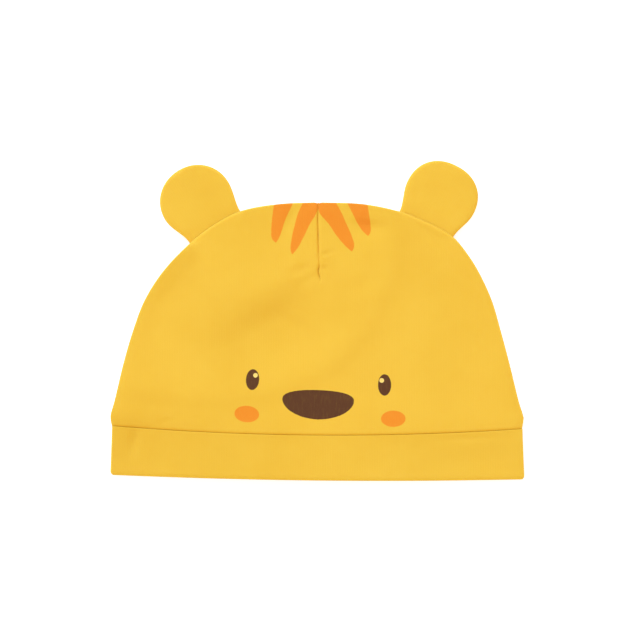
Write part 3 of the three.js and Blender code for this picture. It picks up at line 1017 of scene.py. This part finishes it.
    def laid(self, own: Points) -> Points:
        """Points of the ear's own frame, drooped, turned and put where the ear stands.

        Args:
            own: the points.

        Returns:
            The points in the hat's frame.
        """
        u, v, w = own.T
        v, w = turned(v, w, self.place.droop)
        x, y = turned(u, v, -self.place.turn)
        return np.stack([self.place.x + x, self.place.y + y, self.form.seam_height + w], -1)


def linear(code: str) -> tuple[float, float, float, float]:
    """The linear colour of an sRGB hex code: a straight piece near black and a power above it.

    Args:
        code: six hex digits after a hash.

    Returns:
        Red, green, blue and a full alpha.
    """
    parts = [int(code[k : k + 2], 16) / 255.0 for k in (1, 3, 5)]
    return (*((p / 12.92 if p <= 0.04045 else ((p + 0.055) / 1.055) ** 2.4) for p in parts), 1.0)


def add(tree: Tree, kind: str, inputs: dict, **settings: object) -> Node:
    """Adds a node with its settings and links.

    Args:
        tree: the material's node tree.
        kind: the node's type, without the words that every shader node's type starts with.
        inputs: for each input's name or number, a value, or an output or a node to link.
        settings: the node's own properties.

    Returns:
        The node.
    """
    node = tree.nodes.new("ShaderNode" + kind)
    for name, value in settings.items():
        setattr(node, name, value)
    for key, value in inputs.items():
        if isinstance(value, Node):
            value = value.outputs[0]
        if isinstance(value, bpy.types.NodeSocket):
            tree.links.new(value, node.inputs[key])
        else:
            node.inputs[key].default_value = value
    return node


@dataclass(frozen=True)
class Spot:
    """A printed oval: its centre, its half axes and its tilt."""

    x: float
    y: float
    half_x: float
    half_y: float
    tilt: float = 0.0


@dataclass(frozen=True)
class Stripe:
    """A printed stripe that runs down from the top seam: rows of y, left edge and right edge."""

    rows: tuple[tuple[float, float, float], ...]


@dataclass(frozen=True)
class FacePrint:
    """Water-based ink screen printed on the knitted front: flat, matt, and a little thin on the loops.

    Each mask method takes the material's node tree and the cloth's coordinates in metres, and
    returns the node whose first output is 1 where there is ink.
    """

    brown: str = "#623F28"
    orange: str = "#F0962E"
    cream: str = "#FCDD80"
    eyes: tuple[Spot, ...] = (
        Spot(-31.6, -28.4, 3.2, 5.05, -4.0),
        Spot(32.6, -31.0, 3.2, 5.2),
    )
    glints: tuple[Spot, ...] = (Spot(-30.2, -26.3, 1.1, 1.1), Spot(31.2, -28.8, 1.15, 1.15))
    cheeks: tuple[Spot, ...] = (
        Spot(-34.4, -45.1, 6.0, 4.0, -5.0),
        Spot(36.8, -47.4, 5.95, 3.95),
    )
    # The nose is flatter above its widest line than an ellipse is, and fuller below
    nose: Spot = Spot(0.3, -38.3, 17.4, 4.8, -2.0)
    nose_fall: float = 9.45
    nose_top_power: float = 2.4
    nose_low_power: float = 1.9
    stripes: tuple[Stripe, ...] = (
        Stripe(((38.3, -20.4, -20.2), (39.7, -21.9, -19.2), (43.8, -22.5, -17.5), (49.0, -22.2, -15.8),
                (56.1, -21.3, -12.6), (60.0, -20.8, -10.9))),
        Stripe(((32.6, -12.4, -12.2), (34.9, -13.1, -10.2), (40.1, -12.6, -7.2), (47.2, -11.0, -3.8),
                (52.7, -9.4, -0.6), (57.3, -7.2, 0.3), (60.0, -5.8, 0.3))),
        Stripe(((34.0, 16.5, 16.8), (36.4, 13.8, 17.8), (41.2, 9.6, 16.7), (47.2, 5.5, 14.1),
                (53.1, 0.8, 11.5), (57.5, 0.2, 9.1), (60.0, 0.2, 8.1))),
        Stripe(((41.6, 24.4, 24.7), (43.1, 22.7, 25.7), (46.4, 20.2, 25.8), (52.7, 16.9, 24.9),
                (56.3, 15.1, 24.4), (60.0, 13.3, 23.8))),
    )
    stripe_span: float = 30.0
    # How soft the ink's edge is, and how far the loops make it wander
    edge: float = 0.16
    wander: float = 0.22
    wander_size: float = 1.3
    # Pale streaks of bare yarn, along the wales, where the ink sits thin on the loops' ridges: how
    # much of it is missing, the streaks' width and length, and the noise over which one begins
    streak: float = 0.035
    streak_width: float = 1.1
    streak_length: float = 4.4
    streak_detail: float = 3.0
    streak_from: tuple[float, float] = (0.5, 0.75)

    def centred(self, tree: Tree, place: Link, spot: Spot) -> Node:
        """Flat coordinates from an oval's centre, turned with it and in units of its half axes.

        Args:
            tree, place: as for every mask.
            spot: the oval.

        Returns:
            The coordinates.
        """
        inputs = {
            "Vector": place,
            "Location": (spot.x * MM, spot.y * MM, 0.0),
            "Rotation": (0.0, 0.0, math.radians(spot.tilt)),
            "Scale": (spot.half_x * MM, spot.half_y * MM, 1.0),
        }
        moved = add(tree, "Mapping", inputs, vector_type="TEXTURE")
        return add(tree, "VectorMath", {0: moved, 1: (1.0, 1.0, 0.0)}, operation="MULTIPLY")

    def under_one(self, tree: Tree, value: Link, soft: float) -> Node:
        """A mask that is one where a value is under one, and falls off over a soft edge."""
        inputs = {"Value": value, "From Min": 1.0 + soft / 2, "From Max": 1.0 - soft / 2}
        return add(tree, "MapRange", inputs, interpolation_type="SMOOTHSTEP")

    def spot_mask(self, tree: Tree, place: Link, spot: Spot) -> Node:
        """A printed oval's mask: the scaled distance from its centre is under one.

        Args:
            tree, place: as for every mask.
            spot: the oval.

        Returns:
            The mask.
        """
        far = add(tree, "VectorMath", {0: self.centred(tree, place, spot)}, operation="LENGTH")
        return self.under_one(tree, far.outputs["Value"], self.edge / spot.half_y)

    def nose_mask(self, tree: Tree, place: Link) -> Node:
        """The nose's mask: a power of the width plus a power of the height is under one.

        Args:
            tree, place: as for every mask.

        Returns:
            The mask.
        """
        parts = add(tree, "SeparateXYZ", {0: self.centred(tree, place, self.nose)})
        width = add(tree, "Math", {0: parts.outputs["X"]}, operation="ABSOLUTE")
        low_reach = -self.nose.half_y / self.nose_fall
        totals = []
        for reach, power in ((1.0, self.nose_top_power), (low_reach, self.nose_low_power)):
            up = parts.outputs["Y"]
            for operation, number in (("MULTIPLY", reach), ("MAXIMUM", 0.0), ("POWER", power)):
                up = add(tree, "Math", {0: up, 1: number}, operation=operation)
            wide = add(tree, "Math", {0: width, 1: power}, operation="POWER")
            totals.append(add(tree, "Math", {0: up, 1: wide}, operation="ADD"))
        above = add(tree, "Math", {0: parts.outputs["Y"], 1: 0.0}, operation="GREATER_THAN")
        total = add(tree, "Mix", {0: above, 2: totals[1], 3: totals[0]}, data_type="FLOAT")
        return self.under_one(tree, total, 2.0 * self.edge / self.nose_fall)

    def stripe_mask(self, tree: Tree, place: Link, stripe: Stripe) -> Node:
        """A stripe's mask: the least of the distances to its tip and its two edges is over nothing.

        Each edge is a curve of x over y, read from the stripe's rows.

        Args:
            tree, place: as for every mask.
            stripe: the stripe.

        Returns:
            The mask.
        """
        parts = add(tree, "SeparateXYZ", {0: place})
        low, high, span = stripe.rows[0][0], stripe.rows[-1][0], self.stripe_span
        inputs = {"Value": parts.outputs["Y"], "From Min": low * MM, "From Max": high * MM}
        up = add(tree, "MapRange", inputs, clamp=False)
        least = add(tree, "Math", {0: parts.outputs["Y"], 1: low * MM}, operation="SUBTRACT")
        for column, sign in ((1, 1.0), (2, -1.0)):
            curve = add(tree, "FloatCurve", {"Value": up})
            points = curve.mapping.curves[0].points
            places = [((r[0] - low) / (high - low), r[column] / (2 * span) + 0.5) for r in stripe.rows]
            points[0].location, points[1].location = places[0], places[-1]
            for at in places[1:-1]:
                points.new(*at)
            curve.mapping.update()
            inputs = {"Value": curve, "To Min": -span * MM, "To Max": span * MM}
            edge = add(tree, "MapRange", inputs, clamp=False)
            gap = add(tree, "Math", {0: parts.outputs["X"], 1: edge}, operation="SUBTRACT")
            gap = add(tree, "Math", {0: gap, 1: sign}, operation="MULTIPLY")
            least = add(tree, "Math", {0: least, 1: gap}, operation="MINIMUM")
        soft = self.edge * MM / 2
        inputs = {"Value": least, "From Min": -soft, "From Max": soft}
        return add(tree, "MapRange", inputs, interpolation_type="SMOOTHSTEP")

    def joined(self, tree: Tree, masks: list[Node]) -> Node:
        """The mask that covers all of the given ones.

        Args:
            tree: the material's node tree.
            masks: the masks.

        Returns:
            The greatest of them at each point.
        """
        whole = masks[0]
        for mask in masks[1:]:
            whole = add(tree, "Math", {0: whole, 1: mask}, operation="MAXIMUM")
        return whole

    def wandered(self, tree: Tree, at: Link) -> Node:
        """The cloth's coordinates, pushed about a little so that the ink's edges wander.

        Args:
            tree: the material's node tree.
            at: the true coordinates, in metres.

        Returns:
            The coordinates that the masks read.
        """
        noise = add(tree, "TexNoise", {"Vector": at, "Scale": PER_METRE / self.wander_size})
        drift = {0: noise.outputs["Color"], 1: (0.5, 0.5, 0.5)}
        drift = add(tree, "VectorMath", drift, operation="SUBTRACT")
        drift = add(tree, "VectorMath", {0: drift, "Scale": self.wander * MM}, operation="SCALE")
        return add(tree, "VectorMath", {0: at, 1: drift}, operation="ADD")

    def over(self, tree: Tree, yarn: Link) -> Link:
        """Lays the inks over the yarn's colour, on the cloth's right side only.

        Args:
            tree: the material's node tree.
            yarn: the bare cloth's colour.

        Returns:
            The printed colour.
        """
        at = add(tree, "TexCoord", {}).outputs["Object"]
        place = self.wandered(tree, at)
        side = add(tree, "Attribute", {}, attribute_name=OUTSIDE).outputs["Fac"]
        scale = (PER_METRE / self.streak_width, PER_METRE / self.streak_length, 0.0)
        drawn_out = add(tree, "Mapping", {"Vector": at, "Scale": scale})
        streaks = add(tree, "TexNoise", {"Vector": drawn_out, "Scale": 1.0, "Detail": self.streak_detail})
        begin, full = self.streak_from
        inputs = {"Value": streaks, "From Min": begin, "From Max": full, "To Min": 1.0}
        thin = add(tree, "MapRange", inputs | {"To Max": 1.0 - self.streak})
        groups = (self.cheeks, self.eyes, self.glints)
        cheeks, eyes, glints = ([self.spot_mask(tree, place, spot) for spot in group] for group in groups)
        stripes = [self.stripe_mask(tree, place, stripe) for stripe in self.stripes]
        for masks, code in (
            (cheeks + stripes, self.orange),
            ([*eyes, self.nose_mask(tree, place)], self.brown),
            (glints, self.cream),
        ):
            cover = add(tree, "Math", {0: self.joined(tree, masks), 1: side}, operation="MULTIPLY")
            cover = add(tree, "Math", {0: cover, 1: thin}, operation="MULTIPLY")
            yarn = add(tree, "Mix", {0: cover, 6: yarn, 7: linear(code)}, data_type="RGBA").outputs[2]
        return yarn


@dataclass(frozen=True)
class CottonJersey:
    """Combed cotton single jersey, piece dyed: matt, with soft wales and a faint bloom of fibre.

    Jersey of this weight has about 14 wales and 18 courses to the centimetre. They are drawn at
    1.2 and 0.95 mm, because the real ones are too fine to show at this picture's size.
    """

    name: str
    # The dye takes unevenly: the yarn runs from the first to the second over soft patches, between
    # two values of a noise of the patches' size
    deep: str = "#ECC041"
    pale: str = "#F0C647"
    patch_size: float = 30.0
    patch_detail: float = 5.0
    patch_roughness: float = 0.55
    patch_range: tuple[float, float] = (0.3, 0.7)
    wale: float = 1.2
    course: float = 0.95
    # How deep the loops are, how high their ends stand as a share of their middle, and how much
    # painted shade darkens the grooves between them
    loop_depth: float = 0.015
    loop_ends: float = 0.55
    groove_shade: float = 0.015
    # The bloom of loose fibres
    fuzz_depth: float = 0.025
    fuzz_size: float = 0.5
    fuzz_detail: float = 3.0
    roughness: float = 0.92
    specular: float = 0.15
    sheen: float = 0.04
    sheen_roughness: float = 0.5
    # Light goes a little way through the loose yarn, which softens creases and edges
    scatter: float = 0.35
    scatter_reach: float = 1.0
    ink: FacePrint | None = None

    def loops(self, tree: Tree) -> Node:
        """The height of the knitted loops, from 0 in a groove to 1 on a ridge.

        Each wale is a ridge, a sine across it. Its two legs slant towards its middle, so the
        courses make a column of chevrons: a triangle wave of the course number plus the share
        across. Both repeat once a loop, so they turn back at half a loop.

        Args:
            tree: the material's node tree.

        Returns:
            The height.
        """
        half = 0.5
        scale = (GRAIN_UNIT / self.wale, GRAIN_UNIT / self.course, 0.0)
        grain = add(tree, "UVMap", {}, uv_map=GRAIN_MAP)
        parts = add(tree, "SeparateXYZ", {0: add(tree, "Mapping", {"Vector": grain, "Scale": scale})})
        leg = add(tree, "Math", {0: parts.outputs["X"], 1: half}, operation="PINGPONG")
        ridge = add(tree, "Math", {0: leg, 1: math.pi}, operation="MULTIPLY")
        ridge = add(tree, "Math", {0: ridge}, operation="SINE")
        slant = add(tree, "Math", {0: parts.outputs["Y"], 1: leg}, operation="ADD")
        slant = add(tree, "Math", {0: slant, 1: half}, operation="PINGPONG")
        loop = add(tree, "MapRange", {"Value": slant, "From Max": half, "To Min": self.loop_ends})
        return add(tree, "Math", {0: ridge, 1: loop}, operation="MULTIPLY")

    def colour(self, tree: Tree, at: Link, loops: Node) -> Link:
        """The cloth's colour: dye in soft patches, ink where there is some, and painted shade in the
        grooves.

        Args:
            tree: the material's node tree.
            at: the cloth's coordinates, in metres.
            loops: the height of the loops.

        Returns:
            The colour.
        """
        patches = add(
            tree, "TexNoise",
            {
                "Vector": at, "Scale": PER_METRE / self.patch_size,
                "Detail": self.patch_detail, "Roughness": self.patch_roughness,
            },
        )
        low, high = self.patch_range
        share = add(tree, "MapRange", {"Value": patches, "From Min": low, "From Max": high})
        inputs = {0: share, 6: linear(self.deep), 7: linear(self.pale)}
        colour = add(tree, "Mix", inputs, data_type="RGBA").outputs[2]
        if self.ink is not None:
            colour = self.ink.over(tree, colour)
        # Painted shade: the colour is made darker in the grooves between the loops, where shade would
        # fall
        shade = add(tree, "MapRange", {"Value": loops, "To Min": 1.0 - self.groove_shade})
        inputs = {0: 1.0, 6: colour, 7: add(tree, "CombineXYZ", {0: shade, 1: shade, 2: shade})}
        return add(tree, "Mix", inputs, data_type="RGBA", blend_type="MULTIPLY").outputs[2]

    def make(self) -> bpy.types.Material:
        """Builds the material: its colour, the bump of bloom and loops, and the shader.

        Returns:
            The material.
        """
        material = bpy.data.materials.new(self.name)
        material.use_nodes = True
        tree = material.node_tree
        tree.nodes.clear()
        at = add(tree, "TexCoord", {}).outputs["Object"]
        loops = self.loops(tree)
        scale = PER_METRE / self.fuzz_size
        fuzz = add(tree, "TexNoise", {"Vector": at, "Scale": scale, "Detail": self.fuzz_detail})
        bump = add(tree, "Bump", {"Strength": 1.0, "Distance": self.fuzz_depth * MM, "Height": fuzz})
        inputs = {"Strength": 1.0, "Distance": self.loop_depth * MM, "Height": loops, "Normal": bump}
        bump = add(tree, "Bump", inputs)
        shader = add(
            tree, "BsdfPrincipled",
            {
                "Base Color": self.colour(tree, at, loops), "Roughness": self.roughness,
                "Specular IOR Level": self.specular, "Sheen Weight": self.sheen,
                "Sheen Roughness": self.sheen_roughness, "Subsurface Weight": self.scatter,
                "Subsurface Radius": (1.0, 1.0, 1.0), "Subsurface Scale": self.scatter_reach * MM,
                "Normal": bump,
            },
        )
        add(tree, "OutputMaterial", {"Surface": shader})
        return material


@dataclass(frozen=True)
class BackdropPaper:
    """Matt white paper lit from below as well, as on a light table: even, and with no shadow on it."""

    colour: str = "#FAFAF9"
    roughness: float = 0.95
    glow: float = 0.7
    glow_tint: str = "#BCD5FF"

    def make(self) -> bpy.types.Material:
        """Builds the material: each number and colour is set on the shader's own socket.

        Returns:
            The material.
        """
        material = bpy.data.materials.new("matt_backdrop_paper")
        material.use_nodes = True
        shader = material.node_tree.nodes["Principled BSDF"]
        shader.inputs["Base Color"].default_value = linear(self.colour)
        shader.inputs["Roughness"].default_value = self.roughness
        shader.inputs["Specular IOR Level"].default_value = 0.0
        shader.inputs["Emission Color"].default_value = linear(self.glow_tint)
        shader.inputs["Emission Strength"].default_value = self.glow
        return material


@dataclass
class Studio:
    """A pale floor, a soft light from beyond the hat's top, and a camera straight above."""

    # How much of the table's width the picture shows, its middle, and how far above the camera is
    view_width: float = 312.0
    view_middle: tuple[float, float] = (1.19, 0.585)
    view_height: float = 2000.0
    # The height over the table at which the width is measured
    outline_height: float = 2.8
    sensor: float = 36.0
    # How far the camera sees, in metres
    farthest: float = 100.0
    floor_size: float = 9000.0
    floor_drop: float = 0.1
    paper: BackdropPaper = BackdropPaper()
    # White cards throw a warm fill back, and the key is cooler: together they are white
    sky: float = 0.90
    sky_tint: str = "#FFE9BE"
    key_energy: float = 560.0
    key_tint: str = "#A3CBFF"
    key_size: float = 5200.0
    key_place: tuple[float, float, float] = (-2560.0, 5240.0, 4880.0)

    def camera(self) -> None:
        """Puts the camera over the hat: its lens is the sensor's width times height over view."""
        lens = bpy.data.cameras.new("camera")
        lens.sensor_width = self.sensor
        lens.lens = self.sensor * (self.view_height - self.outline_height) / self.view_width
        lens.clip_end = self.farthest
        camera = stood("camera", lens)
        camera.location = (*(v * MM for v in self.view_middle), self.view_height * MM)
        bpy.context.scene.camera = camera

    def light(self) -> None:
        """Sets an even warm sky and one large square cool light that points at the hat."""
        world = bpy.data.worlds.new("studio")
        world.use_nodes = True
        ground = world.node_tree.nodes["Background"]
        ground.inputs["Color"].default_value = linear(self.sky_tint)
        ground.inputs["Strength"].default_value = self.sky
        bpy.context.scene.world = world
        lamp = bpy.data.lights.new("key", "AREA")
        lamp.size = self.key_size * MM
        lamp.energy = self.key_energy
        lamp.color = linear(self.key_tint)[:3]
        key = stood("key", lamp)
        x, y, z = self.key_place
        key.location = (x * MM, y * MM, z * MM)
        key.rotation_euler = (math.atan2(math.hypot(x, y), z), 0.0, math.atan2(-x, y) + math.pi)

    def floor(self) -> None:
        """Lays the paper that the hat lies on, a hair below its underside."""
        half = self.floor_size / 2 * MM
        mesh = bpy.data.meshes.new("floor")
        corners = [(-half, -half), (half, -half), (half, half), (-half, half)]
        mesh.from_pydata([(x, y, -self.floor_drop * MM) for x, y in corners], [], [(0, 1, 2, 3)])
        mesh.materials.append(self.paper.make())
        stood("floor", mesh)

    def build(self) -> None:
        """Sets up the floor, the lights, the camera and a plain view of colours."""
        self.floor()
        self.light()
        self.camera()
        bpy.context.scene.view_settings.view_transform = "Standard"
        LOG.info("studio: floor, light and camera")


@dataclass
class Hat:
    """The whole hat: its pieces, their finishes and the form that they were cut from."""

    form: HatForm = field(default_factory=HatForm)
    dart: Dart = field(default_factory=Dart)

    def dress(self, piece: Thing, node: str, material: bpy.types.Material) -> None:
        """Gives a piece its material, hangs it on the hat's body and hides the solid that it stands for.

        Args:
            piece: the piece.
            node: the solid that it stands for.
            material: its finish.
        """
        piece.data.materials.append(material)
        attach(piece, "root")
        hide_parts(node)
        mesh = piece.data
        LOG.info("%s: %d points, %d faces", piece.name, len(mesh.vertices), len(mesh.polygons))

    def build(self) -> None:
        """Builds the panels, the band and the ears, and gives each its finish."""
        plain = CottonJersey("cotton_jersey_dyed").make()
        printed = CottonJersey("cotton_jersey_screen_printed", ink=FacePrint()).make()
        back = CrownPanel(self.form, self.dart, Facing.BACK, "hat_crown_back").build()
        self.dress(back, "crown_back", plain)
        front = CrownPanel(self.form, self.dart, Facing.FRONT, "hat_crown_front").build()
        self.dress(front, "crown_front", printed)
        band = Band(self.form, "hat_band").build()
        self.dress(band, "band", plain)
        for place in self.form.ears:
            ear = Ear(self.form, place).build()
            self.dress(ear, place.name, plain)


def main() -> None:
    """Builds the hat and its studio."""
    logging.basicConfig(level=logging.INFO, format="%(name)s: %(message)s")
    Hat().build()
    Studio().build()


if __name__ == "__main__":
    main()
